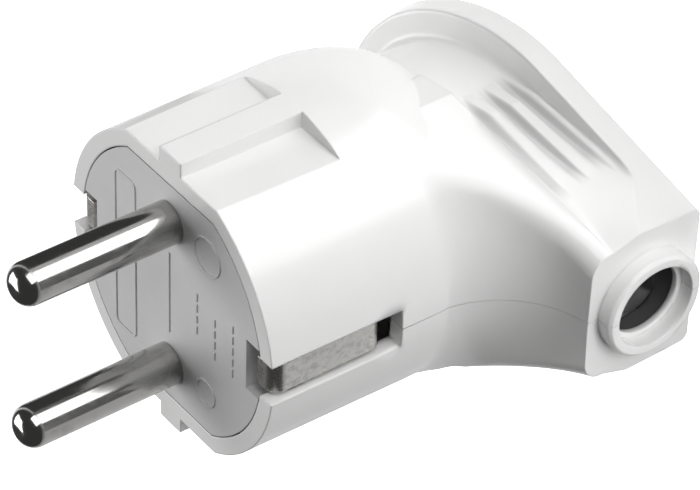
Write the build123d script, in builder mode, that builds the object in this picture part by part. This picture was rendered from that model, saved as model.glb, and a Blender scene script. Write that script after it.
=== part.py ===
from build123d import *
import os
from math import acos, atan2, cos, hypot, radians, sin, tan

# Rewirable angled mains plug with two round pins and side earth contacts.
# It stands on its sloping back face with the pins up. Sizes are in millimetres, angles in degrees.
#
# World frame: +Z is up, +X runs towards the cable entry, +Y is the side of the upper housing.
# The origin is the centre of the back flange's round end, on the back face.
#
# Plug frame: x towards the cable entry, y as in the world, z along the pins.
# Its origin is the middle of the front face, and it leans by the slope of the back face.
# "Reach" is a distance along its x, "depth" is a distance behind the front face.

# Whole plug
back_slope = 10.0
axis_depth = 41.5
axis_foot_x = -1.5
wall = 2.1
slip = 0.15
thread_gap = 0.02

# Barrel, which enters the socket
face_radius = 18.1
barrel_radius = 18.3
barrel_straight = 20.5
shoulder_radius = 16.2
shoulder_depth = 29.5
flat_offset = 16.2
flat_length = 15.0
flat_wall = 2.0
rib_width = 3.7

# Side slots for the earth contacts
slot_width = 4.9
slot_length = 16.2

# Back flange and waist
flange_radius = 19.1
flange_thickness = 3.5
flange_tail_half = 8.8
flange_edge = 0.8
waist_radius = 15.6
waist_shift = 1.5
waist_top = 11.4
waist_fillet = 0.6
waist_flare = 15.0
waist_flare_depth = 35.0

# Finger ridges
ridge_count = 3
ridge_pitch = 2.65
ridge_crest_z = 9.5
ridge_height = 1.3
ridge_front_rise = 0.8
ridge_crest_width = 1.25
ridge_back_rise = 0.3
ridge_crest_fall = 0.12
ridge_start_angle = 77.0
ridge_peak_angle = 61.5
ridge_end_reach = 20.6
ridge_end_step = 1.1
ridge_sink = 0.1

# Neck and cable entry
end_reach = 28.4
neck_half = 8.35
side_draft = 2.6
neck_tangent_radius = 17.9
neck_blend_angle = 14.0
neck_blend_drop = 0.9
neck_top_depth = 16.0
neck_sweep_start = 22.5
neck_sweep_lean = 10.0
neck_sweep_radius = 12.0
neck_edge = 2.4
entry_depth = 39.8
entry_radius = 4.9
entry_length = 5.0
collar_radius = 6.15
collar_length = 1.95
collar_edge = 0.35

# Contact carrier
carrier_radius = 16.0
carrier_flat = 14.1
carrier_plate = 3.0
lip_height = 0.9
lip_thickness = 1.6
notch_floor = 13.5
notch_width = 6.5
boss_radius = 4.4
boss_length = 9.0
post_width = 9.0
post_side = 6.0

# Pins
pin_spacing = 19.0
pin_radius = 2.4
pin_root_radius = 2.0
pin_length = 19.0
pin_tip_radius = 1.9
terminal_side = 7.0
terminal_length = 9.0
terminal_edge = 0.4
wire_hole_radius = 1.5
wire_hole_depth = 7.0

# Terminal screws
terminal_screw_radius = 1.5
terminal_screw_length = 3.0
terminal_screw_setback = 3.6
terminal_head_radius = 2.4
terminal_head_height = 1.8
driver_slot_width = 0.7
driver_slot_depth = 0.9

# Earth strap, with its screw and washer
strap_thickness = 0.8
strap_width = 3.6
strap_reach = 17.0
strap_front = 0.9
strap_depth = 14.0
strap_hook = 2.2
strap_bend = 1.2
bridge_width = 6.5
bridge_length = 14.0
washer_side = 6.0
washer_thickness = 0.8
earth_screw_length = 6.0

# Cord clamp
clamp_x = 0.0
clamp_rear_z = 4.9
clamp_spacing = 13.5
clamp_width = 5.0
clamp_thickness = 3.1
clamp_tooth = 0.6
clamp_seat_y = 1.5
clamp_screw_radius = 1.45
clamp_screw_length = 9.0
clamp_head_radius = 2.4
clamp_head_height = 1.8
clamp_post_radius = 2.5

# Housing screws and their brass inserts
rear_screw_reach = -9.0
rear_screw_depth = 23.5
neck_screw_reach = 13.0
neck_screw_depth = 27.5
housing_screw_radius = 1.5
housing_screw_length = 10.5
housing_head_radius = 2.7
housing_head_height = 2.0
head_seat = 5.0
head_boss_radius = 4.1
insert_radius = 2.1
insert_length = 5.0
insert_start = 1.0
insert_boss_radius = 3.3

slope = radians(back_slope)
axis_direction = Vector(-sin(slope), 0, cos(slope))
plug = Plane(
    origin=Vector(axis_foot_x, 0, 0) + axis_direction * axis_depth,
    x_dir=(cos(slope), 0, sin(slope)),
    z_dir=axis_direction,
)
plug_axis = Axis(plug.origin, plug.z_dir)
seam = Plane(origin=(0, 0, 0), x_dir=(1, 0, 0), z_dir=(0, 1, 0))
side_view = Plane(origin=plug.origin, x_dir=plug.x_dir, z_dir=(0, -1, 0))
behind = -axis_depth - barrel_radius
far = 4 * barrel_radius
end_x = axis_foot_x + end_reach / cos(slope)
end_face = Plane(
    origin=plug.from_local_coords(Vector(end_reach, 0, 0)), x_dir=(0, 1, 0), z_dir=plug.x_dir
)
entry = Plane(
    origin=plug.from_local_coords(Vector(end_reach + collar_length, 0, -entry_depth)),
    x_dir=(0, 1, 0),
    z_dir=plug.x_dir,
)
end_axis = Axis(plug.origin, plug.x_dir)
room_radius = barrel_radius - wall
lip_back = carrier_plate + lip_thickness
terminal_back = boss_length + terminal_length
strap_rear = strap_depth + strap_thickness / 2
clamp_front_z = clamp_rear_z + clamp_spacing


def on_seam(reach, depth):
    """Place on the seam between the halves, from a reach and a depth of the plug frame."""
    point = plug.from_local_coords(Vector(reach, 0, -depth))
    return (point.X, -point.Z)


def drafted(depth):
    """How much the neck and the waist grow each way at a depth, from their size at the cable entry."""
    return (depth - entry_depth) * tan(radians(side_draft))


def waist_half(depth):
    """Half of the waist's width at the end face, which flares out towards the back flange."""
    flare = max(0, depth - waist_flare_depth) * tan(radians(waist_flare))
    return neck_half + drafted(depth) + flare


def teardrop(radius, tip_reach, tip_half, shift=0.0):
    """A circle run out by its tangent lines to a straight end tip_half each side."""
    centre = Vector(shift, 0)
    lean = atan2(tip_half, tip_reach - shift)
    angle = lean + acos(radius / hypot(tip_reach - shift, tip_half))
    touch = centre + Vector(cos(angle), sin(angle)) * radius
    with BuildSketch(mode=Mode.PRIVATE) as outline:
        with BuildLine():
            Polyline((touch.X, -touch.Y), (tip_reach, -tip_half), (tip_reach, tip_half), (touch.X, touch.Y))
            ThreePointArc((touch.X, touch.Y), (shift - radius, 0), (touch.X, -touch.Y))
        make_face()
    return outline.sketch


def tail(radius, tip_reach, tip_half):
    """The straight-sided run of a teardrop, with a facet that leads it in from the circle."""
    angle = atan2(tip_half, tip_reach) + acos(radius / hypot(tip_reach, tip_half))
    touch = Vector(cos(angle), sin(angle)) * radius
    early = angle + radians(neck_blend_angle)
    lead = Vector(cos(early), sin(early)) * (radius - neck_blend_drop)
    upper = [(tip_reach, tip_half), (touch.X, touch.Y), (lead.X, lead.Y)]
    lower = [(reach, -side) for reach, side in reversed(upper)]
    with BuildSketch(mode=Mode.PRIVATE) as outline:
        Polygon(*upper, *lower, align=None)
    return outline.sketch


def beyond_sweep(gap=0.0):
    """Side view of what lies outside the neck's hollow sweep, brought in towards the plug by gap."""
    lean = radians(neck_sweep_lean)
    toward = Vector(cos(lean), sin(lean))
    centre = Vector(barrel_radius, -neck_sweep_start) + toward * neck_sweep_radius
    start = centre - toward * (neck_sweep_radius + gap)
    top = start + Vector(-sin(lean), cos(lean)) * neck_sweep_start
    with BuildSketch(mode=Mode.PRIVATE) as outline:
        with BuildLine():
            arc = CenterArc(
                (centre.X, centre.Y), neck_sweep_radius + gap, 180 + neck_sweep_lean, 90 - neck_sweep_lean
            )
            Polyline(arc @ 1, (far, (arc @ 1).Y), (far, top.Y), (top.X, top.Y), arc @ 0)
        make_face()
    return outline.sketch


def flatted_disc(radius, half):
    """A disc with a flat on each side, half away from its middle."""
    with BuildSketch(mode=Mode.PRIVATE) as outline:
        Circle(radius)
        Rectangle(2 * radius, 2 * half, mode=Mode.INTERSECT)
    return outline.sketch


def ridge_plan(rise, height, end_reach_here):
    """Level plan of a finger ridge standing out from the waist by rise, at a height in the world."""
    depth = axis_depth - height / cos(slope)
    radius = waist_radius + drafted(depth)
    half = waist_half(depth + end_reach_here * tan(slope))
    start = radians(ridge_start_angle)
    peak = radians(ridge_peak_angle)
    tip = end_reach - waist_shift
    touch = atan2(half, tip) + acos(radius / hypot(tip, half))
    end_side = half + (end_reach - end_reach_here) / tan(touch) - ridge_sink
    places = [
        (waist_shift + (radius - ridge_sink) * cos(start), (radius - ridge_sink) * sin(start)),
        (waist_shift + (radius + rise) * cos(peak), (radius + rise) * sin(peak)),
        (end_reach_here, end_side),
        (waist_shift + radius / 2, radius / 2),
    ]
    level = [(axis_foot_x + reach / cos(slope) - height * tan(slope), side) for reach, side in places]
    with BuildSketch(mode=Mode.PRIVATE) as outline:
        Polygon(*level, align=None)
    return outline.sketch


def slotted_screw(seat, head_radius, head_height, shank_radius, shank_length):
    """A cheese head screw whose head rises from the seat plane and whose shank goes below it."""
    with BuildPart(mode=Mode.PRIVATE) as screw:
        with BuildSketch(seat):
            Circle(head_radius)
        extrude(amount=head_height)
        top_edge = screw.edges().filter_by(GeomType.CIRCLE).group_by(SortBy.DISTANCE)[-1]
        chamfer(top_edge, length=head_height / 6)
        with BuildSketch(seat):
            Circle(shank_radius)
        extrude(amount=-shank_length)
        with BuildSketch(seat.offset(head_height)):
            Rectangle(3 * head_radius, driver_slot_width)
        extrude(amount=-driver_slot_depth, mode=Mode.SUBTRACT)
    return screw.part


# Neck towards the cable entry, with a hollow sweep up into the barrel
with BuildPart() as neck:
    for depth in (-behind, neck_top_depth):
        with BuildSketch(plug.offset(-depth)):
            add(tail(neck_tangent_radius + drafted(depth), end_reach, neck_half + drafted(depth)))
    loft(ruled=True)
    with BuildSketch(side_view):
        add(beyond_sweep())
    revolve(axis=plug_axis, mode=Mode.SUBTRACT)
    bent = neck.edges().filter_by(GeomType.LINE, reverse=True)
    outer = bent.filter_by(lambda edge: abs(edge.center().Y) > neck_half)
    brow = outer.filter_by(
        lambda edge: neck_tangent_radius / 2 < plug.to_local_coords(edge.center()).X < end_reach - neck_edge
    )
    fillet(brow, radius=neck_edge)

# Barrel with its tapering shoulder, joined to the neck
with BuildPart() as head_form:
    with BuildSketch(side_view):
        with BuildLine():
            Polyline((barrel_radius, -barrel_straight), (face_radius, 0), (0, 0), (0, behind))
            Polyline((0, behind), (shoulder_radius, behind), (shoulder_radius, -shoulder_depth))
            TangentArc(
                (barrel_radius, -barrel_straight), (shoulder_radius, -shoulder_depth), tangent=(0, -1)
            )
        make_face()
    revolve(axis=plug_axis)
    add(neck.part)

# Back flange with rounded rims
with BuildPart() as back_flange:
    with BuildSketch(Plane.XY):
        add(teardrop(flange_radius, end_x, flange_tail_half))
    extrude(amount=flange_thickness)
    fillet(back_flange.edges().filter_by(GeomType.CIRCLE), radius=flange_edge)
    split(bisect_by=end_face, keep=Keep.BOTTOM)

# Waist on the back flange, trimmed flush with the flange's straight sides near the cable entry
with BuildPart() as lower_form:
    for depth in (-behind, waist_flare_depth, neck_sweep_start):
        with BuildSketch(plug.offset(-depth)):
            add(teardrop(waist_radius + drafted(depth), end_reach, waist_half(depth), waist_shift))
    loft(ruled=True)
    with BuildSketch(Plane.XY.offset(waist_top)):
        Rectangle(2 * far, 2 * far)
    extrude(amount=far, mode=Mode.SUBTRACT)
    with BuildSketch(Plane.XY):
        Rectangle(2 * far, 2 * far)
    extrude(amount=-far, mode=Mode.SUBTRACT)
    with BuildSketch(Plane.XY):
        Rectangle(2 * far, 2 * far)
    extrude(amount=flange_thickness)
    split(bisect_by=end_face, keep=Keep.BOTTOM)
    fillet(lower_form.edges().filter_by(GeomType.BSPLINE).group_by(Axis.Z)[0], radius=waist_fillet)
    with BuildSketch(Plane.XY.offset(flange_thickness - flange_edge)):
        add(teardrop(flange_radius, end_x, flange_tail_half))
    extrude(amount=far, taper=side_draft, mode=Mode.INTERSECT)
    add(back_flange.part)

# Finger ridges of the upper side: each has a sloping front, a flat crest and a steep back
with BuildPart() as ridges:
    for index in range(ridge_count):
        crest = ridge_crest_z - index * ridge_pitch
        reach = ridge_end_reach + index * ridge_end_step
        levels = [
            (crest + ridge_front_rise, 0),
            (crest, ridge_height),
            (crest - ridge_crest_width, ridge_height - ridge_crest_fall),
            (crest - ridge_crest_width - ridge_back_rise, 0),
        ]
        for height, rise in levels:
            with BuildSketch(Plane.XY.offset(height)):
                add(ridge_plan(rise, height, reach))
        loft(ruled=True)

# Whole outer form, before it is hollowed and split
with BuildPart() as form:
    add(head_form.part)
    with BuildSketch(Plane.XY.offset(waist_top)):
        Rectangle(2 * far, 2 * far)
    extrude(amount=-far, mode=Mode.SUBTRACT)
    add(lower_form.part)
    add(ridges.part)
    add(mirror(ridges.part, about=Plane.XZ, mode=Mode.PRIVATE))
    with BuildSketch(entry):
        Circle(collar_radius)
    extrude(amount=-2 * collar_length)
    chamfer(form.edges().filter_by(GeomType.CIRCLE).sort_by(end_axis)[-1], length=collar_edge)
    for direction in (1, -1):
        side = Plane(
            origin=plug.from_local_coords(Vector(0, direction * flat_offset, 0)),
            x_dir=plug.x_dir,
            z_dir=(0, direction, 0),
        )
        with BuildSketch(side):
            Rectangle(2 * far, 2 * flat_length)
            Rectangle(rib_width, 2 * flat_length, mode=Mode.SUBTRACT)
        extrude(amount=far, mode=Mode.SUBTRACT)

# Passage from the cable entry through the neck and the waist
with BuildPart() as passage:
    for depth in (-behind, neck_top_depth + wall):
        with BuildSketch(plug.offset(-depth)):
            add(tail(neck_tangent_radius + drafted(depth), end_reach, neck_half + drafted(depth)))
            offset(amount=-wall, mode=Mode.REPLACE)
    loft(ruled=True)
    with BuildSketch(Plane.XY.offset(waist_top + wall)):
        Rectangle(2 * far, 2 * far)
    extrude(amount=-far, mode=Mode.SUBTRACT)
    with BuildSketch(plug.offset(behind)):
        add(teardrop(waist_radius, end_reach, neck_half, waist_shift))
        offset(amount=-wall, mode=Mode.REPLACE)
        with Locations((end_reach + collar_length - entry_length + far, 0)):
            Rectangle(2 * far, 2 * far, mode=Mode.SUBTRACT)
    extrude(amount=-behind - neck_sweep_start)
    with BuildSketch(side_view):
        add(beyond_sweep(wall))
    revolve(axis=plug_axis, mode=Mode.SUBTRACT)
    with BuildSketch(Plane.XY.offset(wall)):
        Rectangle(2 * far, 2 * far)
    extrude(amount=-far, mode=Mode.SUBTRACT)
    with BuildSketch(entry):
        Circle(entry_radius)
    extrude(amount=far)
    with BuildSketch(entry):
        Circle(entry_radius)
    extrude(amount=-entry_length)

# Room inside the closed housing, open at the front, at both slots and at the cable entry
with BuildPart() as room:
    with BuildSketch(side_view):
        Polygon(
            (0, -lip_back),
            (room_radius, -lip_back),
            (room_radius, -barrel_straight),
            (shoulder_radius - wall, -shoulder_depth),
            (shoulder_radius - wall, behind),
            (0, behind),
            align=None,
        )
    revolve(axis=plug_axis)
    with BuildSketch(plug.offset(-flat_length - flat_wall)):
        add(flatted_disc(far, far))
        add(flatted_disc(far, flat_offset - flat_wall), mode=Mode.SUBTRACT)
    extrude(amount=far, mode=Mode.SUBTRACT)
    with BuildSketch(Plane.XY.offset(waist_top + wall)):
        Rectangle(2 * far, 2 * far)
    extrude(amount=-far, mode=Mode.SUBTRACT)
    add(passage.part)
    with BuildSketch(plug.offset(-carrier_plate - lip_thickness - slip)):
        add(flatted_disc(carrier_radius + lip_height + slip, carrier_flat + lip_height + slip))
    extrude(amount=lip_thickness + 2 * slip)
    with BuildSketch(plug.offset(-carrier_plate)):
        add(flatted_disc(carrier_radius + slip, carrier_flat + slip))
    extrude(amount=far)
    with BuildSketch(plug.offset(-slot_length)):
        Rectangle(2 * far, slot_width)
    extrude(amount=far)

screw_spots = [on_seam(rear_screw_reach, rear_screw_depth), on_seam(neck_screw_reach, neck_screw_depth)]
clamp_spots = [(clamp_x, -clamp_rear_z), (clamp_x, -clamp_front_z)]

# Bosses for the brass inserts, joined to the upper half
with BuildPart() as upper_bosses:
    with BuildSketch(seam):
        with Locations(screw_spots):
            Circle(insert_boss_radius)
    extrude(amount=far)
    add(form.part, mode=Mode.INTERSECT)

# Bosses under the screw heads and posts under the cord clamp, joined to the lower half
with BuildPart() as lower_bosses:
    with BuildSketch(seam):
        with Locations(screw_spots):
            Circle(head_boss_radius)
    extrude(amount=-far)
    with BuildSketch(seam.offset(clamp_seat_y)):
        with Locations(clamp_spots):
            Circle(clamp_post_radius)
    extrude(amount=-far)
    add(form.part, mode=Mode.INTERSECT)

# Upper half of the housing
with BuildPart() as upper_housing:
    add(form.part)
    split(bisect_by=seam, keep=Keep.TOP)
    add(room.part, mode=Mode.SUBTRACT)
    add(upper_bosses.part)
    with BuildSketch(seam):
        with Locations(screw_spots):
            Circle(insert_radius + thread_gap)
    extrude(amount=insert_start + insert_length, mode=Mode.SUBTRACT)

# Lower half of the housing
with BuildPart() as lower_housing:
    add(form.part)
    split(bisect_by=seam, keep=Keep.BOTTOM)
    add(room.part, mode=Mode.SUBTRACT)
    add(lower_bosses.part)
    with BuildSketch(seam):
        with Locations(screw_spots):
            Circle(housing_screw_radius + slip)
    extrude(amount=-head_seat, mode=Mode.SUBTRACT)
    with BuildSketch(seam.offset(-head_seat)):
        with Locations(screw_spots):
            Circle(housing_head_radius + slip)
    extrude(amount=-far, mode=Mode.SUBTRACT)
    with BuildSketch(seam.offset(clamp_seat_y)):
        with Locations(clamp_spots):
            Circle(clamp_screw_radius + thread_gap)
    extrude(amount=-clamp_screw_length, mode=Mode.SUBTRACT)

# Contact carrier, the insulating front plate that holds the pins
with BuildPart() as contact_carrier:
    with BuildSketch(plug.offset(-carrier_plate)):
        add(flatted_disc(carrier_radius, carrier_flat))
    extrude(amount=carrier_plate)
    with BuildSketch(plug.offset(-lip_back)):
        add(flatted_disc(carrier_radius + lip_height, carrier_flat + lip_height))
    extrude(amount=lip_thickness)
    with BuildSketch(plug.offset(-lip_back)):
        Rectangle(4 * carrier_radius, notch_width)
        Rectangle(2 * notch_floor, notch_width, mode=Mode.SUBTRACT)
    extrude(amount=far, mode=Mode.SUBTRACT)
    with BuildSketch(plug.offset(-boss_length)):
        with GridLocations(0, pin_spacing, 1, 2):
            Circle(boss_radius)
    extrude(amount=boss_length - carrier_plate)
    with BuildSketch(plug.offset(-strap_depth + strap_thickness / 2)):
        Rectangle(post_width, post_side)
    extrude(amount=strap_depth - strap_thickness / 2 - carrier_plate)
    with BuildSketch(plug.offset(-boss_length)):
        with GridLocations(0, pin_spacing, 1, 2):
            Circle(pin_root_radius + thread_gap)
    extrude(amount=far, mode=Mode.SUBTRACT)
    with BuildSketch(plug.offset(-strap_depth)):
        Circle(terminal_screw_radius + thread_gap)
    extrude(amount=earth_screw_length, mode=Mode.SUBTRACT)


def contact_pin(side):
    """A round pin with a domed tip and a square wire terminal behind the carrier."""
    with BuildPart(mode=Mode.PRIVATE) as pin:
        with BuildSketch(plug.offset(-boss_length)):
            with Locations((0, side)):
                Circle(pin_root_radius)
        extrude(amount=boss_length)
        with BuildSketch(plug):
            with Locations((0, side)):
                Circle(pin_radius)
        extrude(amount=pin_length)
        tip = pin.edges().filter_by(GeomType.CIRCLE).sort_by(plug_axis)[-1]
        fillet(tip, radius=pin_tip_radius)
        with BuildSketch(plug.offset(-terminal_back)):
            with Locations((0, side)):
                Rectangle(terminal_side, terminal_side)
        extrude(amount=terminal_length)
        chamfer(pin.edges().filter_by(plug_axis), length=terminal_edge)
        with BuildSketch(plug.offset(-terminal_back)):
            with Locations((0, side)):
                Circle(wire_hole_radius)
        extrude(amount=wire_hole_depth, mode=Mode.SUBTRACT)
        with BuildSketch(terminal_seat(side)):
            Circle(terminal_screw_radius + thread_gap)
        extrude(amount=-terminal_side / 2, mode=Mode.SUBTRACT)
    return pin.part


def terminal_seat(side):
    """Plane on a wire terminal's outer face, where its screw head sits."""
    place = Vector(-terminal_side / 2, side, terminal_screw_setback - terminal_back)
    return Plane(origin=plug.from_local_coords(place), x_dir=(0, 1, 0), z_dir=-plug.x_dir)


# Contact pins
with BuildPart() as upper_pin:
    add(contact_pin(pin_spacing / 2))

with BuildPart() as lower_pin:
    add(contact_pin(-pin_spacing / 2))

# Screws of the wire terminals
with BuildPart() as upper_terminal_screw:
    add(
        slotted_screw(
            terminal_seat(pin_spacing / 2),
            terminal_head_radius,
            terminal_head_height,
            terminal_screw_radius,
            terminal_screw_length,
        )
    )

with BuildPart() as lower_terminal_screw:
    add(
        slotted_screw(
            terminal_seat(-pin_spacing / 2),
            terminal_head_radius,
            terminal_head_height,
            terminal_screw_radius,
            terminal_screw_length,
        )
    )

# Earth strap, one bent strip with a spring contact at each side
with BuildPart() as earth_strap:
    with BuildSketch(side_view):
        with BuildLine():
            FilletPolyline(
                (strap_hook - strap_reach, -strap_front),
                (-strap_reach, -strap_front),
                (-strap_reach, -strap_depth),
                (strap_reach, -strap_depth),
                (strap_reach, -strap_front),
                (strap_reach - strap_hook, -strap_front),
                radius=strap_bend,
            )
        trace(line_width=strap_thickness)
    extrude(amount=strap_width / 2, both=True)
    with BuildSketch(plug.offset(-strap_rear)):
        SlotOverall(bridge_length, bridge_width)
    extrude(amount=strap_thickness)
    with BuildSketch(plug.offset(-strap_rear)):
        Circle(terminal_screw_radius + slip)
    extrude(amount=strap_thickness, mode=Mode.SUBTRACT)

# Earth terminal
with BuildPart() as earth_washer:
    with BuildSketch(plug.offset(-strap_rear)):
        RectangleRounded(washer_side, washer_side, washer_thickness)
        Circle(terminal_screw_radius + slip, mode=Mode.SUBTRACT)
    extrude(amount=-washer_thickness)

earth_seat = Plane(
    origin=plug.from_local_coords(Vector(0, 0, -strap_rear - washer_thickness)),
    x_dir=plug.x_dir,
    z_dir=-plug.z_dir,
)

with BuildPart() as earth_screw:
    add(
        slotted_screw(
            earth_seat, terminal_head_radius, terminal_head_height, terminal_screw_radius, earth_screw_length
        )
    )

# Cord clamp
clamp_middle = (clamp_x, -(clamp_rear_z + clamp_front_z) / 2)

with BuildPart() as cord_clamp:
    with BuildSketch(seam.offset(clamp_seat_y)):
        with Locations(clamp_middle):
            SlotCenterToCenter(clamp_spacing, clamp_width, rotation=90)
    extrude(amount=clamp_thickness)
    with BuildSketch(seam.offset(clamp_seat_y)):
        with Locations(clamp_middle):
            with GridLocations(clamp_width - clamp_tooth, 0, 2, 1):
                Rectangle(clamp_tooth, clamp_spacing - 3 * clamp_post_radius)
    extrude(amount=-clamp_tooth)
    with BuildSketch(seam.offset(clamp_seat_y)):
        with Locations(clamp_spots):
            Circle(clamp_screw_radius + slip)
    extrude(amount=clamp_thickness, mode=Mode.SUBTRACT)


def seat_on_seam(spot, height, direction):
    """Plane parallel to the seam at a height, facing up the y axis or down it."""
    return Plane(origin=(spot[0], height, -spot[1]), x_dir=(1, 0, 0), z_dir=(0, direction, 0))


with BuildPart() as rear_clamp_screw:
    add(
        slotted_screw(
            seat_on_seam(clamp_spots[0], clamp_seat_y + clamp_thickness, 1),
            clamp_head_radius,
            clamp_head_height,
            clamp_screw_radius,
            clamp_screw_length,
        )
    )

with BuildPart() as front_clamp_screw:
    add(
        slotted_screw(
            seat_on_seam(clamp_spots[1], clamp_seat_y + clamp_thickness, 1),
            clamp_head_radius,
            clamp_head_height,
            clamp_screw_radius,
            clamp_screw_length,
        )
    )

# Screws that hold the halves together
with BuildPart() as rear_housing_screw:
    add(
        slotted_screw(
            seat_on_seam(screw_spots[0], -head_seat, -1),
            housing_head_radius,
            housing_head_height,
            housing_screw_radius,
            housing_screw_length,
        )
    )

with BuildPart() as neck_housing_screw:
    add(
        slotted_screw(
            seat_on_seam(screw_spots[1], -head_seat, -1),
            housing_head_radius,
            housing_head_height,
            housing_screw_radius,
            housing_screw_length,
        )
    )


def brass_insert(spot):
    """A threaded insert pressed into a boss of the upper half."""
    with BuildPart(mode=Mode.PRIVATE) as insert:
        with BuildSketch(seat_on_seam(spot, insert_start, 1)):
            Circle(insert_radius)
            Circle(housing_screw_radius + thread_gap, mode=Mode.SUBTRACT)
        extrude(amount=insert_length)
    return insert.part


with BuildPart() as rear_insert:
    add(brass_insert(screw_spots[0]))

with BuildPart() as neck_insert:
    add(brass_insert(screw_spots[1]))

os.makedirs("parts", exist_ok=True)

upper_housing.part.label = "upper_housing"
export_step(upper_housing.part, "parts/upper_housing.step")

lower_housing.part.label = "lower_housing"
export_step(lower_housing.part, "parts/lower_housing.step")

contact_carrier.part.label = "contact_carrier"
export_step(contact_carrier.part, "parts/contact_carrier.step")

upper_pin.part.label = "upper_pin"
export_step(upper_pin.part, "parts/upper_pin.step")

lower_pin.part.label = "lower_pin"
export_step(lower_pin.part, "parts/lower_pin.step")

upper_terminal_screw.part.label = "upper_terminal_screw"
export_step(upper_terminal_screw.part, "parts/upper_terminal_screw.step")

lower_terminal_screw.part.label = "lower_terminal_screw"
export_step(lower_terminal_screw.part, "parts/lower_terminal_screw.step")

earth_strap.part.label = "earth_strap"
export_step(earth_strap.part, "parts/earth_strap.step")

earth_washer.part.label = "earth_washer"
export_step(earth_washer.part, "parts/earth_washer.step")

earth_screw.part.label = "earth_screw"
export_step(earth_screw.part, "parts/earth_screw.step")

cord_clamp.part.label = "cord_clamp"
export_step(cord_clamp.part, "parts/cord_clamp.step")

rear_clamp_screw.part.label = "rear_clamp_screw"
export_step(rear_clamp_screw.part, "parts/rear_clamp_screw.step")

front_clamp_screw.part.label = "front_clamp_screw"
export_step(front_clamp_screw.part, "parts/front_clamp_screw.step")

rear_housing_screw.part.label = "rear_housing_screw"
export_step(rear_housing_screw.part, "parts/rear_housing_screw.step")

neck_housing_screw.part.label = "neck_housing_screw"
export_step(neck_housing_screw.part, "parts/neck_housing_screw.step")

rear_insert.part.label = "rear_insert"
export_step(rear_insert.part, "parts/rear_insert.step")

neck_insert.part.label = "neck_insert"
export_step(neck_insert.part, "parts/neck_insert.step")
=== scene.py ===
import bmesh
import bpy
from math import cos, pi, radians, sin
from mathutils import Matrix, Vector
from mathutils.bvhtree import BVHTree


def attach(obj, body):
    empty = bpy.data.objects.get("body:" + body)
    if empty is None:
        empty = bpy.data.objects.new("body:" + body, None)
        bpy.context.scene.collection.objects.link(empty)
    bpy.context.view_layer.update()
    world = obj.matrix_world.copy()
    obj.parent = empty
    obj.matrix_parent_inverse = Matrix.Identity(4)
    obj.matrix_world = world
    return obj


# Looks of an angled mains plug: glossy white moulded halves, a matt grey contact carrier with raised marks,
# and nickel plated pins. All lengths are in metres, in the frame of the solid model.

mm = 0.001

# Plug frame of the solid model: x towards the cable entry, y up the seam's normal, z along the pins
back_slope = radians(10)
axis_depth = 41.5 * mm
axis_foot = -1.5 * mm
axis_along = Vector((-sin(back_slope), 0, cos(back_slope)))
reach_along = Vector((cos(back_slope), 0, sin(back_slope)))
face_centre = Vector((axis_foot, 0, 0)) + axis_along * axis_depth
axes = Matrix((reach_along, (0, 1, 0), axis_along)).transposed().to_4x4()
plug_frame = Matrix.Translation(face_centre) @ axes
plug_turn = (0, -back_slope, 0)

# Zones of the housing's finish: (from, to, blur) along the reach, or along the height above the front face
sweep_reach = (11 * mm, 23 * mm, 2.5 * mm)
sweep_height = (-34 * mm, -15 * mm, 3 * mm)
# The inlet zone is where shade is painted dark inside the cable entry
inlet_reach = (4.0 * mm, 27.3 * mm, 1.2 * mm)
entry_depth = 39.8 * mm
inlet_radius = (5.0 * mm, 5.6 * mm)
seam_clear = (1.6 * mm, 3.4 * mm)
neck_bore = (13.0 * mm, 27.5 * mm)
neck_bore_clear = (4.5 * mm, 7.0 * mm)

# Zones in the world: the flange's front edge, and the hollows in front of the finger ridges, where shade is
# painted
flange_front = (3.0 * mm, 4.1 * mm, 0.4 * mm)
ridge_count = 3
ridge_crest = 9.5 * mm
ridge_pitch = 2.65 * mm
ridge_hollow = (0.25 * mm, 0.95 * mm, 0.35 * mm)
ridge_run = (5.5 * mm, 15.5 * mm, 3.0 * mm)
ridge_side = (8.5 * mm, 10.0 * mm)

# Rounding of the housing's edges: everywhere, and what the sweep and the flange add to it
edge_round = 0.3 * mm
sweep_round = 1.9 * mm
flange_round = 0.5 * mm

# Raised marks of the carrier: places are (reach, side) from the middle of its front face
mark_height = 0.14 * mm
mark_sink = 0.10 * mm
mark_line = 0.26 * mm
mark_edge = 0.05 * mm
panel_centre = (-8.15 * mm, -0.25 * mm)
panel_size = (3.9 * mm, 21.0 * mm)
panel_corner = 0.9 * mm
ring_centre = (6.6 * mm, 9.3 * mm)
ring_radius = 2.35 * mm
rule_centre = (-0.12 * mm, 0)
rule_size = (0.22 * mm, 10.6 * mm)
ejector_centre = (6.5 * mm, -9.0 * mm)
ejector_radius = 1.7 * mm
dash_size = (0.22 * mm, 1.0 * mm)
dash_pitch = 1.45 * mm
dash_rows = [(4.85 * mm, 0.6 * mm, 4), (8.0 * mm, -0.7 * mm, 4), (11.15 * mm, 0.0 * mm, 5)]

# Seam between the halves
seam_half = 0.07 * mm
seam_proud = 0.025 * mm
seam_depth = 0.06 * mm
just_off = 0.05 * mm
sharp_angle = radians(45)

# Step inside the cable entry: corners (reach, radius) of its ring
entry_centre = face_centre - axis_along * entry_depth
step_back, step_front = 27.8 * mm, 28.6 * mm
step_outer, step_inner = 4.95 * mm, 4.25 * mm
step_profile = [
    (step_back, step_outer),
    (step_front, step_outer),
    (step_front, step_inner),
    (step_back, step_inner),
]
step_edge = 0.12 * mm

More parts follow.
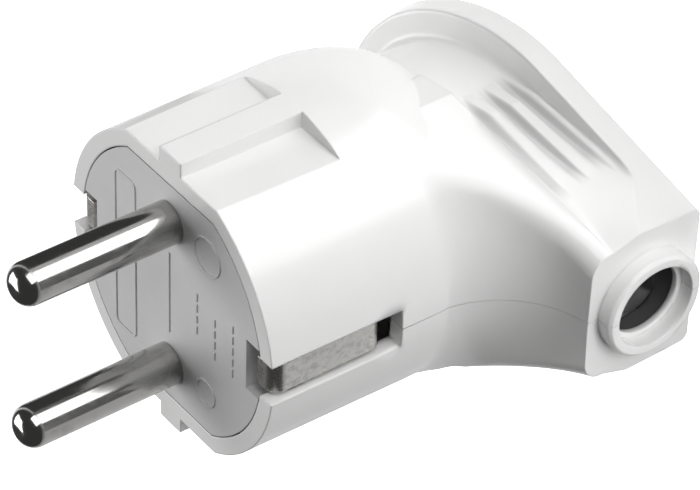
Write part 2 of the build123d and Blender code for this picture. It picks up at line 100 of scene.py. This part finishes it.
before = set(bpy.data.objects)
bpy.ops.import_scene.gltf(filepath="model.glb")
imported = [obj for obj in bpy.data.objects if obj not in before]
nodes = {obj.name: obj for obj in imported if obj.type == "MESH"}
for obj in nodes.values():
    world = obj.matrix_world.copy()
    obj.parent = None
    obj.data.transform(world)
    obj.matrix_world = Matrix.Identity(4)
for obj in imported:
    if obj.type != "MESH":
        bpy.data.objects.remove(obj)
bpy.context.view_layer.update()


def node_group(name, inputs, outputs):
    """An empty shader node group with named inputs (name, type, value) and outputs (name, type)."""
    group = bpy.data.node_groups.new(name, "ShaderNodeTree")
    for label, kind, value in inputs:
        socket = group.interface.new_socket(name=label, in_out="INPUT", socket_type="NodeSocket" + kind)
        socket.default_value = value
    for label, kind in outputs:
        group.interface.new_socket(name=label, in_out="OUTPUT", socket_type="NodeSocket" + kind)
    start = group.nodes.new("NodeGroupInput")
    end = group.nodes.new("NodeGroupOutput")
    return group, start, end


def feed(tree, socket, value):
    """Gives an input socket a link, a number or a colour."""
    if isinstance(value, bpy.types.NodeSocket):
        tree.links.new(value, socket)
    else:
        socket.default_value = value


def maths(tree, operation, *values):
    """A math node on one or two values."""
    node = tree.nodes.new("ShaderNodeMath")
    node.operation = operation
    for socket, value in zip(node.inputs, values):
        feed(tree, socket, value)
    return node.outputs[0]


def times(tree, *values):
    """Product of two or more values."""
    product = values[0]
    for value in values[1:]:
        product = maths(tree, "MULTIPLY", product, value)
    return product


def noise(tree, vector, scale, detail=3.0, roughness=0.55):
    """A noise texture on a vector socket."""
    node = tree.nodes.new("ShaderNodeTexNoise")
    feed(tree, node.inputs["Vector"], vector)
    feed(tree, node.inputs["Scale"], scale)
    node.inputs["Detail"].default_value = detail
    node.inputs["Roughness"].default_value = roughness
    return node.outputs["Fac"]


def remap(tree, value, low, high, to_low=0.0, to_high=1.0, smooth=True):
    """A value mapped from one range to another, clamped."""
    node = tree.nodes.new("ShaderNodeMapRange")
    node.interpolation_type = "SMOOTHSTEP" if smooth else "LINEAR"
    feed(tree, node.inputs["Value"], value)
    for label, bound in (("From Min", low), ("From Max", high), ("To Min", to_low), ("To Max", to_high)):
        feed(tree, node.inputs[label], bound)
    return node.outputs["Result"]


def blend_colours(tree, factor, first, second):
    """A colour between two colours."""
    node = tree.nodes.new("ShaderNodeMix")
    node.data_type = "RGBA"
    feed(tree, node.inputs["Factor"], factor)
    feed(tree, node.inputs[6], first)
    feed(tree, node.inputs[7], second)
    return node.outputs[2]


def split_axes(tree, vector):
    """The x, y and z of a vector socket."""
    parts = tree.nodes.new("ShaderNodeSeparateXYZ")
    feed(tree, parts.inputs["Vector"], vector)
    return parts.outputs


def moulding_group():
    """Plastic as it leaves the mould: faint flow marks, uneven gloss, a fine skin and specks."""
    tree, start, end = node_group(
        "moulded_skin",
        [
            ("Vector", "Vector", (0, 0, 0)),
            ("Colour", "Color", (0.8, 0.8, 0.8, 1)),
            ("Shade", "Color", (0.75, 0.75, 0.74, 1)),
            ("Speck", "Color", (0.35, 0.33, 0.3, 1)),
            ("Gloss Low", "Float", 0.25),
            ("Gloss High", "Float", 0.35),
            ("Skin Scale", "Float", 2500.0),
        ],
        [("Colour", "Color"), ("Roughness", "Float"), ("Height", "Float")],
    )
    link = tree.links.new
    vector = start.outputs["Vector"]
    flow = remap(tree, noise(tree, vector, 55.0, 4.0), 0.35, 0.68)
    cloud = remap(tree, noise(tree, vector, 240.0, 5.0, 0.6), 0.38, 0.66)
    tint = times(tree, maths(tree, "ADD", flow, times(tree, cloud, 0.5)), 0.66)
    base = blend_colours(tree, tint, start.outputs["Colour"], start.outputs["Shade"])
    cells = tree.nodes.new("ShaderNodeTexVoronoi")
    cells.inputs["Scale"].default_value = 420.0
    link(vector, cells.inputs["Vector"])
    near = remap(tree, cells.outputs["Distance"], 0.02, 0.075, 1.0, 0.0)
    rare = remap(tree, noise(tree, vector, 130.0, 1.0), 0.66, 0.7)
    speck = times(tree, near, rare, 0.55)
    link(blend_colours(tree, speck, base, start.outputs["Speck"]), end.inputs["Colour"])
    uneven = noise(tree, vector, 150.0, 6.0, 0.7)
    gloss = remap(tree, uneven, 0.3, 0.7, start.outputs["Gloss Low"], start.outputs["Gloss High"])
    link(gloss, end.inputs["Roughness"])
    skin = noise(tree, vector, start.outputs["Skin Scale"], 3.0, 0.6)
    sink = times(tree, noise(tree, vector, 90.0, 1.0), 1.6)
    link(maths(tree, "ADD", skin, sink), end.inputs["Height"])
    return tree


def scratch_group():
    """Fine rubbed lines in two directions and in patches, as a mask, for what is handled."""
    tree, start, end = node_group(
        "rubbed_lines",
        [("Vector", "Vector", (0, 0, 0)), ("Density", "Float", 0.5)],
        [("Mask", "Float")],
    )
    masks = []
    for turn, wide in (((0.4, 0.9, 0.3), 900.0), ((1.3, -0.5, 1.1), 1300.0)):
        mapping = tree.nodes.new("ShaderNodeMapping")
        mapping.inputs["Rotation"].default_value = turn
        mapping.inputs["Scale"].default_value = (1.0, 0.06, 1.0)
        tree.links.new(start.outputs["Vector"], mapping.inputs["Vector"])
        lines = noise(tree, mapping.outputs["Vector"], wide, 2.0, 0.7)
        masks.append(remap(tree, lines, 0.66, 0.74))
    patch = remap(tree, noise(tree, start.outputs["Vector"], 120.0, 2.0), 0.45, 0.62)
    both = maths(tree, "MAXIMUM", masks[0], masks[1])
    tree.links.new(times(tree, both, patch, start.outputs["Density"]), end.inputs["Mask"])
    return tree


def drawn_group():
    """Drawn and polished metal: streaks along z, blotches of tarnish, with a height for the scratches."""
    tree, start, end = node_group(
        "drawn_metal",
        [
            ("Vector", "Vector", (0, 0, 0)),
            ("Bright", "Color", (0.8, 0.79, 0.77, 1)),
            ("Dull", "Color", (0.5, 0.49, 0.47, 1)),
            ("Gloss Low", "Float", 0.15),
            ("Gloss High", "Float", 0.35),
            ("Blotch Scale", "Float", 300.0),
        ],
        [("Colour", "Color"), ("Roughness", "Float"), ("Height", "Float")],
    )
    link = tree.links.new
    mapping = tree.nodes.new("ShaderNodeMapping")
    mapping.inputs["Scale"].default_value = (1.0, 1.0, 0.035)
    link(start.outputs["Vector"], mapping.inputs["Vector"])
    streak = noise(tree, mapping.outputs["Vector"], 2600.0, 5.0, 0.65)
    broad = noise(tree, mapping.outputs["Vector"], 700.0, 3.0, 0.5)
    tarnish = noise(tree, start.outputs["Vector"], start.outputs["Blotch Scale"], 6.0, 0.65)
    blotch = remap(tree, tarnish, 0.42, 0.7)
    mixed = maths(tree, "ADD", times(tree, streak, 0.55), times(tree, blotch, 0.45))
    dulled = remap(tree, mixed, 0.25, 0.75)
    link(blend_colours(tree, dulled, start.outputs["Bright"], start.outputs["Dull"]), end.inputs["Colour"])
    worn = maths(tree, "ADD", times(tree, broad, 0.5), times(tree, blotch, 0.5))
    gloss = remap(tree, worn, 0.2, 0.8, start.outputs["Gloss Low"], start.outputs["Gloss High"])
    link(gloss, end.inputs["Roughness"])
    link(maths(tree, "ADD", streak, times(tree, broad, 0.6)), end.inputs["Height"])
    return tree


moulded_skin = moulding_group()
rubbed_lines = scratch_group()
drawn_metal = drawn_group()


def place_group(tree, group, vector, values):
    """A node group in a material, fed with a vector and its own values."""
    node = tree.nodes.new("ShaderNodeGroup")
    node.node_tree = group
    tree.links.new(vector, node.inputs["Vector"])
    for label, value in values.items():
        node.inputs[label].default_value = value
    return node


def new_material(name):
    """A material with its shader and the object's own coordinates."""
    material = bpy.data.materials.new(name)
    material.use_nodes = True
    tree = material.node_tree
    shader = tree.nodes["Principled BSDF"]
    place = tree.nodes.new("ShaderNodeTexCoord")
    return material, tree, shader, place.outputs["Object"]


def plug_places(tree, vector):
    """Reach, side and height above the front face of a point, as three sockets."""
    mapping = tree.nodes.new("ShaderNodeMapping")
    mapping.vector_type = "TEXTURE"
    mapping.inputs["Location"].default_value = face_centre
    mapping.inputs["Rotation"].default_value = plug_turn
    tree.links.new(vector, mapping.inputs["Vector"])
    return split_axes(tree, mapping.outputs["Vector"])


def between(tree, value, low, high, blur):
    """A mask that is 1 between two bounds and fades to 0 outside them."""
    rising = remap(tree, value, low - blur, low)
    falling = remap(tree, value, high, high + blur, 1.0, 0.0)
    return times(tree, rising, falling)


def distance_across(tree, first, second):
    """Length of the hypotenuse of two values."""
    return maths(tree, "SQRT", maths(tree, "ADD", times(tree, first, first), times(tree, second, second)))


def housing_rounding(tree, vector):
    """Rounding radius of the housing's edges: wide at the root of the neck's sweep and on the flange."""
    reach, side, height = plug_places(tree, vector)
    bore_reach, bore_depth = neck_bore
    from_bore = distance_across(
        tree, maths(tree, "SUBTRACT", reach, bore_reach), maths(tree, "ADD", height, bore_depth)
    )
    upper_half = remap(tree, side, 0.0, 1.0 * mm)
    off_bore = maths(tree, "MAXIMUM", remap(tree, from_bore, *neck_bore_clear), upper_half)
    off_seam = remap(tree, maths(tree, "ABSOLUTE", side), *seam_clear)
    across = between(tree, reach, *sweep_reach)
    along = between(tree, height, *sweep_height)
    sweep = times(tree, across, along, off_seam, off_bore)
    flange = between(tree, split_axes(tree, vector)["Z"], *flange_front)
    wide = maths(tree, "ADD", times(tree, sweep, sweep_round), times(tree, flange, flange_round))
    return maths(tree, "ADD", wide, edge_round)


def inlet_shade(tree, vector):
    """A mask for the inside of the cable entry, behind the collar, where shade is painted dark."""
    reach, side, height = plug_places(tree, vector)
    away = distance_across(tree, side, maths(tree, "ADD", height, entry_depth))
    return times(tree, remap(tree, away, *inlet_radius, 1.0, 0.0), between(tree, reach, *inlet_reach))


def painted_groove_shade(tree, vector):
    """A mask for the hollows in front of the finger ridges, where shade is painted darker."""
    x, y, z = split_axes(tree, vector)
    low, high, blur = ridge_hollow
    hollows = 0.0
    for index in range(ridge_count):
        crest = ridge_crest - index * ridge_pitch
        hollows = maths(tree, "ADD", hollows, between(tree, z, crest + low, crest + high, blur))
    out = remap(tree, maths(tree, "ABSOLUTE", y), *ridge_side)
    return times(tree, hollows, between(tree, x, *ridge_run), out)


def housing_painted_shade(tree, vector, tone):
    """The housing's colour with painted shade in the ridges' hollows and inside the cable entry behind the
    collar.
    """
    # Painted shade: the hollows in front of the ridges are darkened towards grey
    groove_shade = times(tree, painted_groove_shade(tree, vector), 0.55)
    tone = blend_colours(tree, groove_shade, tone, (0.40, 0.40, 0.40, 1))
    # Painted shade: inside the cable entry, behind the collar, the colour goes near black
    return blend_colours(tree, inlet_shade(tree, vector), tone, (0.12, 0.12, 0.125, 1))


def finish_surface(tree, shader, height, distance, edge):
    """Bump from a height, on normals that are rounded off at the edges."""
    rounding = tree.nodes.new("ShaderNodeBevel")
    rounding.samples = 10
    feed(tree, rounding.inputs["Radius"], edge)
    bump = tree.nodes.new("ShaderNodeBump")
    bump.inputs["Strength"].default_value = 0.6
    bump.inputs["Distance"].default_value = distance
    tree.links.new(rounding.outputs["Normal"], bump.inputs["Normal"])
    tree.links.new(height, bump.inputs["Height"])
    tree.links.new(bump.outputs["Normal"], shader.inputs["Normal"])


def plastic(
    name,
    colour,
    shade,
    speck,
    gloss,
    skin_scale,
    skin_depth,
    edge,
    rubbed,
    rub_colour,
    rounding=None,
    painted_shade=None,
):
    """Moulded plastic with its skin, its rubbed lines and soft edges, or a piece's own rounding and painted
    shade.
    """
    material, tree, shader, vector = new_material(name)
    values = {
        "Colour": colour,
        "Shade": shade,
        "Speck": speck,
        "Gloss Low": gloss[0],
        "Gloss High": gloss[1],
        "Skin Scale": skin_scale,
    }
    skin = place_group(tree, moulded_skin, vector, values)
    lines = place_group(tree, rubbed_lines, vector, {"Density": rubbed})
    rubs = lines.outputs["Mask"]
    tone = blend_colours(tree, rubs, skin.outputs["Colour"], rub_colour)
    # A piece's painted shade darkens its colour where light would not reach
    if painted_shade:
        tone = painted_shade(tree, vector, tone)
    tree.links.new(tone, shader.inputs["Base Color"])
    gloss_here = maths(tree, "ADD", skin.outputs["Roughness"], times(tree, rubs, 0.15))
    tree.links.new(gloss_here, shader.inputs["Roughness"])
    shader.inputs["IOR"].default_value = 1.5
    height = maths(tree, "SUBTRACT", skin.outputs["Height"], times(tree, rubs, 0.4))
    if rounding:
        edge = rounding(tree, vector)
    finish_surface(tree, shader, height, skin_depth, edge)
    return material


def metal(name, bright, dull, gloss, blotch_scale, turn, depth, edge):
    """Plated or drawn metal whose streaks run along z after a turn."""
    material, tree, shader, vector = new_material(name)
    mapping = tree.nodes.new("ShaderNodeMapping")
    mapping.vector_type = "TEXTURE"
    mapping.inputs["Rotation"].default_value = turn
    tree.links.new(vector, mapping.inputs["Vector"])
    values = {
        "Bright": bright,
        "Dull": dull,
        "Gloss Low": gloss[0],
        "Gloss High": gloss[1],
        "Blotch Scale": blotch_scale,
    }
    drawn = place_group(tree, drawn_metal, mapping.outputs["Vector"], values)
    tree.links.new(drawn.outputs["Colour"], shader.inputs["Base Color"])
    tree.links.new(drawn.outputs["Roughness"], shader.inputs["Roughness"])
    shader.inputs["Metallic"].default_value = 1.0
    finish_surface(tree, shader, drawn.outputs["Height"], depth, edge)
    return material


housing_white = plastic(
    "housing_white",
    (0.865, 0.865, 0.86, 1),
    (0.85, 0.85, 0.845, 1),
    (0.42, 0.40, 0.37, 1),
    (0.20, 0.24),
    1500.0,
    0.003 * mm,
    edge_round,
    0.05,
    (0.80, 0.80, 0.79, 1),
    rounding=housing_rounding,
    painted_shade=housing_painted_shade,
)
carrier_grey = plastic(
    "carrier_grey",
    (0.61, 0.61, 0.615, 1),
    (0.575, 0.575, 0.58, 1),
    (0.30, 0.30, 0.30, 1),
    (0.42, 0.55),
    3200.0,
    0.012 * mm,
    0.12 * mm,
    0.30,
    (0.66, 0.66, 0.66, 1),
)
clamp_black = plastic(
    "clamp_black",
    (0.035, 0.035, 0.037, 1),
    (0.055, 0.055, 0.056, 1),
    (0.12, 0.12, 0.12, 1),
    (0.40, 0.55),
    2400.0,
    0.012 * mm,
    0.12 * mm,
    0.40,
    (0.10, 0.10, 0.10, 1),
)
nickel = metal(
    "nickel_plating",
    (0.46, 0.455, 0.445, 1),
    (0.38, 0.375, 0.365, 1),
    (0.13, 0.22),
    420.0,
    plug_turn,
    0.0035 * mm,
    0.10 * mm,
)
strap_steel = metal(
    "strap_steel",
    (0.60, 0.59, 0.57, 1),
    (0.46, 0.45, 0.43, 1),
    (0.27, 0.34),
    1200.0,
    plug_turn,
    0.010 * mm,
    0.12 * mm,
)
screw_zinc = metal(
    "screw_zinc",
    (0.62, 0.63, 0.64, 1),
    (0.36, 0.37, 0.38, 1),
    (0.24, 0.42),
    900.0,
    (pi / 2, 0, 0),
    0.008 * mm,
    0.12 * mm,
)
insert_brass = metal(
    "insert_brass",
    (0.80, 0.60, 0.28, 1),
    (0.52, 0.36, 0.15, 1),
    (0.25, 0.42),
    900.0,
    (pi / 2, 0, 0),
    0.008 * mm,
    0.12 * mm,
)

finishes = {
    "upper_housing": housing_white,
    "lower_housing": housing_white,
    "contact_carrier": carrier_grey,
    "upper_pin": nickel,
    "lower_pin": nickel,
    "earth_strap": strap_steel,
    "cord_clamp": clamp_black,
    "rear_insert": insert_brass,
    "neck_insert": insert_brass,
}
for name, node in nodes.items():
    finish = finishes.get(name, screw_zinc)
    if not node.material_slots:
        node.data.materials.append(finish)
    for slot in node.material_slots:
        slot.material = finish


def new_object(bm, name, material):
    """A new object made of a bmesh, with its finish."""
    mesh = bpy.data.meshes.new(name)
    bm.to_mesh(mesh)
    bm.free()
    mesh.materials.append(material)
    made = bpy.data.objects.new(name, mesh)
    bpy.context.scene.collection.objects.link(made)
    return made


def add_piece(bm, name, material):
    """Makes a piece of a bmesh and lets it move with the plug."""
    piece = new_object(bm, name, material)
    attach(piece, "root")
    return piece


def soften(bm, edges, width):
    """Rounds off edges."""
    bmesh.ops.bevel(
        bm,
        geom=edges,
        offset=width,
        segments=2,
        profile=0.5,
        affect="EDGES",
        material=-1,
        clamp_overlap=True,
    )


def is_sharp(edge):
    """Whether the faces of an edge meet at a sharp angle."""
    return edge.calc_face_angle(0) > sharp_angle


def raise_mark(bm, faces, centre):
    """Turns flat faces into a mark that stands on the carrier's front face, with rounded top edges."""
    made = bmesh.ops.extrude_face_region(bm, geom=faces, use_keep_orig=True)
    top = [item for item in made["geom"] if isinstance(item, bmesh.types.BMVert)]
    bmesh.ops.translate(bm, vec=(0, 0, mark_height + mark_sink), verts=top)
    bmesh.ops.recalc_face_normals(bm, faces=bm.faces[:])
    raised = mark_height + mark_sink - 0.5 * mark_edge
    rims = [edge for edge in bm.edges if all(vert.co.z > raised for vert in edge.verts) and is_sharp(edge)]
    soften(bm, rims, mark_edge)
    place = plug_frame @ Matrix.Translation((centre[0], centre[1], -mark_sink))
    bmesh.ops.transform(bm, matrix=place, verts=bm.verts[:])


def open_line(bm):
    """Cuts the middle out of the only face, so that a line of even width is left."""
    middle = bm.faces[:]
    made = bmesh.ops.inset_region(
        bm, faces=middle, thickness=mark_line, use_even_offset=True, use_boundary=True
    )
    bmesh.ops.delete(bm, geom=middle, context="FACES_ONLY")
    return made["faces"]


def flat_plate(bm, size, corner=0.0):
    """A flat rectangle with rounded corners, around the origin."""
    bmesh.ops.create_grid(bm, x_segments=1, y_segments=1, size=0.5)
    bmesh.ops.scale(bm, vec=(size[0], size[1], 1), verts=bm.verts[:])
    if corner:
        bmesh.ops.bevel(
            bm, geom=bm.verts[:], offset=corner, segments=6, profile=0.5, affect="VERTICES", material=-1
        )


# Bare raised frame
bm = bmesh.new()
flat_plate(bm, panel_size, panel_corner)
raise_mark(bm, open_line(bm), panel_centre)
add_piece(bm, "carrier_panel_frame", carrier_grey)

# Bare raised ring
bm = bmesh.new()
bmesh.ops.create_circle(bm, cap_ends=True, segments=64, radius=ring_radius)
raise_mark(bm, open_line(bm), ring_centre)
add_piece(bm, "carrier_ring", carrier_grey)

# Ring left by an ejector of the mould
bm = bmesh.new()
bmesh.ops.create_circle(bm, cap_ends=True, segments=48, radius=ejector_radius)
raise_mark(bm, open_line(bm), ejector_centre)
add_piece(bm, "carrier_ejector_ring", carrier_grey)

# Long thin rule in the middle
bm = bmesh.new()
flat_plate(bm, rule_size)
raise_mark(bm, bm.faces[:], rule_centre)
add_piece(bm, "carrier_rule", carrier_grey)

# Rows of short plain bars
for row, (reach, middle, count) in enumerate(dash_rows):
    for index in range(count):
        bm = bmesh.new()
        flat_plate(bm, dash_size)
        side = middle + (index - (count - 1) / 2) * dash_pitch
        raise_mark(bm, bm.faces[:], (reach, side))
        add_piece(bm, f"carrier_bar_{row}_{index}", carrier_grey)

# Step inside the cable entry, a ring in its bore
bm = bmesh.new()
corners = [bm.verts.new((radius, 0, reach)) for reach, radius in step_profile]
sides = [bm.edges.new((corners[index - 1], corners[index])) for index in range(len(corners))]
bmesh.ops.spin(
    bm, geom=corners + sides, cent=(0, 0, 0), axis=(0, 0, 1), angle=2 * pi, steps=96, use_merge=True
)
bmesh.ops.recalc_face_normals(bm, faces=bm.faces[:])
soften(bm, [edge for edge in bm.edges if is_sharp(edge)], step_edge)
entry_turn = Matrix((axis_along, (0, -1, 0), reach_along)).transposed().to_4x4()
bmesh.ops.transform(bm, matrix=Matrix.Translation(entry_centre) @ entry_turn, verts=bm.verts[:])
add_piece(bm, "entry_inner_step", housing_white)


def all_surfaces():
    """One tree of every solid's faces, for finding what a face looks out on."""
    corners, sides = [], []
    for node in nodes.values():
        first = len(corners)
        corners.extend(vert.co.copy() for vert in node.data.vertices)
        sides.extend([first + index for index in face.vertices] for face in node.data.polygons)
    return BVHTree.FromPolygons(corners, sides)


# Fine moulded line where the two halves of the housing meet
surfaces = all_surfaces()
bm = bmesh.new()
bm.from_mesh(nodes["upper_housing"].data)
bmesh.ops.remove_doubles(bm, verts=bm.verts[:], dist=1e-6)
everything = bm.verts[:] + bm.edges[:] + bm.faces[:]
bmesh.ops.bisect_plane(
    bm, geom=everything, dist=1e-7, plane_co=(0, seam_half, 0), plane_no=(0, 1, 0), clear_outer=True
)
hidden = []
for face in bm.faces:
    centre = face.calc_center_median()
    meets_other_half = abs(face.normal.y) > 0.9
    on_back_face = centre.z < just_off
    looks_inside = surfaces.ray_cast(centre + face.normal * just_off, face.normal)[0] is not None
    if meets_other_half or on_back_face or looks_inside:
        hidden.append(face)
bmesh.ops.delete(bm, geom=hidden, context="FACES")
bm.normal_update()
for vert in bm.verts:
    vert.co += vert.normal * seam_proud
bmesh.ops.solidify(bm, geom=bm.faces[:], thickness=seam_depth)
bmesh.ops.recalc_face_normals(bm, faces=bm.faces[:])
add_piece(bm, "housing_seam_line", housing_white)

# Pale floor, which looks white and glows faintly on the plug
floor_half = 3.0
glow_on_plug, glow_in_view = 0.22, 1.2
floor_white, tree, shader, vector = new_material("floor_white")
shader.inputs["Base Color"].default_value = (0.9, 0.9, 0.9, 1)
shader.inputs["Roughness"].default_value = 0.9
shader.inputs["Emission Color"].default_value = (1, 1, 1, 1)
in_view = tree.nodes.new("ShaderNodeLightPath").outputs["Is Camera Ray"]
glow = remap(tree, in_view, 0.0, 1.0, glow_on_plug, glow_in_view, smooth=False)
tree.links.new(glow, shader.inputs["Emission Strength"])
bm = bmesh.new()
bmesh.ops.create_grid(bm, x_segments=1, y_segments=1, size=floor_half)
floor = new_object(bm, "floor", floor_white)

# Studio: aims, and the ring around the pins in which the cards lie
plug_middle = Vector((0.005, 0, 0.03))
cards_centre = -12 * mm
cards_near, cards_far = 40 * mm, 260 * mm
cards_height = 1 * mm
floor_light_height = 1.5 * mm


def studio_card(name, start, sweep, strength):
    """A card on the floor, a sector of a ring (degrees), that shows only in reflections."""
    bm = bmesh.new()
    turned = Vector((cos(radians(start)), sin(radians(start)), 0))
    ends = [bm.verts.new(turned * radius) for radius in (cards_near, cards_far)]
    side = bm.edges.new(ends)
    bmesh.ops.spin(
        bm, geom=ends + [side], cent=(0, 0, 0), axis=(0, 0, 1), angle=radians(sweep), steps=24
    )
    bmesh.ops.recalc_face_normals(bm, faces=bm.faces[:])
    if bm.faces[:][0].normal.z < 0:
        bmesh.ops.reverse_faces(bm, faces=bm.faces[:])
    bmesh.ops.translate(bm, vec=(cards_centre, 0, cards_height), verts=bm.verts[:])
    paper, tree, shader, vector = new_material(name)
    shader.inputs["Base Color"].default_value = (0.01, 0.01, 0.01, 1)
    shader.inputs["Roughness"].default_value = 1.0
    shader.inputs["Emission Color"].default_value = (1, 1, 1, 1)
    shader.inputs["Emission Strength"].default_value = strength
    card = new_object(bm, name, paper)
    card.visible_camera = False
    card.visible_shadow = False
    card.visible_diffuse = False


def soft_light(name, place, towards, size, power, in_gloss):
    """A rectangular area light at a place, turned to shine away from a direction."""
    data = bpy.data.lights.new(name, "AREA")
    data.shape = "RECTANGLE"
    data.size, data.size_y = size
    data.energy = power
    lamp = bpy.data.objects.new(name, data)
    bpy.context.scene.collection.objects.link(lamp)
    lamp.location = place
    lamp.rotation_mode = "QUATERNION"
    lamp.rotation_quaternion = Vector(towards).to_track_quat("Z", "Y")
    lamp.visible_glossy = in_gloss
    lamp.visible_camera = False


def studio_light(name, towards, distance, size, power):
    """A soft light that shines at the middle of the plug from a direction."""
    place = plug_middle + Vector(towards).normalized() * distance
    soft_light(name, place, towards, size, power, in_gloss=True)


studio_light("key_light", (0.52, 1.0, 0.12), 0.5, (0.45, 0.45), 2.12)
studio_light("front_light", (-0.9, -0.15, 0.8), 0.6, (0.45, 0.45), 2.9)
entry_light_place = (84 * mm, 14 * mm, 9 * mm)
soft_light("entry_light", entry_light_place, (1, 0.12, 0), (0.06, 0.014), 0.012, in_gloss=False)
low_light_place = (-40 * mm, 95 * mm, floor_light_height)
soft_light("low_light", low_light_place, (0, 0, -1), (0.16, 0.10), 0.03, in_gloss=False)

studio_card("dark_card", 97, 93, 0.04)
studio_card("half_card", 77, 20, 0.7)
studio_card("bright_card", 31, 46, 4.0)
studio_card("shade_card", -12, 43, 0.12)

world = bpy.data.worlds.new("studio")
bpy.context.scene.world = world
world.use_nodes = True
background = world.node_tree.nodes["Background"]
background.inputs["Color"].default_value = (1, 1, 1, 1)
background.inputs["Strength"].default_value = 0.06
bpy.context.scene.view_settings.view_transform = "Standard"

# Camera at the photograph's viewing angle
lens = bpy.data.cameras.new("camera")
lens.sensor_width = 36.0
lens.lens = 201.036
lens.clip_start = 0.01
lens.clip_end = 10.0
camera = bpy.data.objects.new("camera", lens)
bpy.context.scene.collection.objects.link(camera)
camera_place = Vector((0.210931, 0.260056, 0.256033))
camera_right = Vector((0.725516, 0.027349, -0.687662))
camera_down = Vector((0.452864, -0.771364, 0.447115))
camera_forward = Vector((-0.518210, -0.635806, -0.572022))
camera_turn = Matrix((camera_right, -camera_down, -camera_forward)).transposed().to_4x4()
camera.matrix_world = Matrix.Translation(camera_place) @ camera_turn
bpy.context.scene.camera = camera
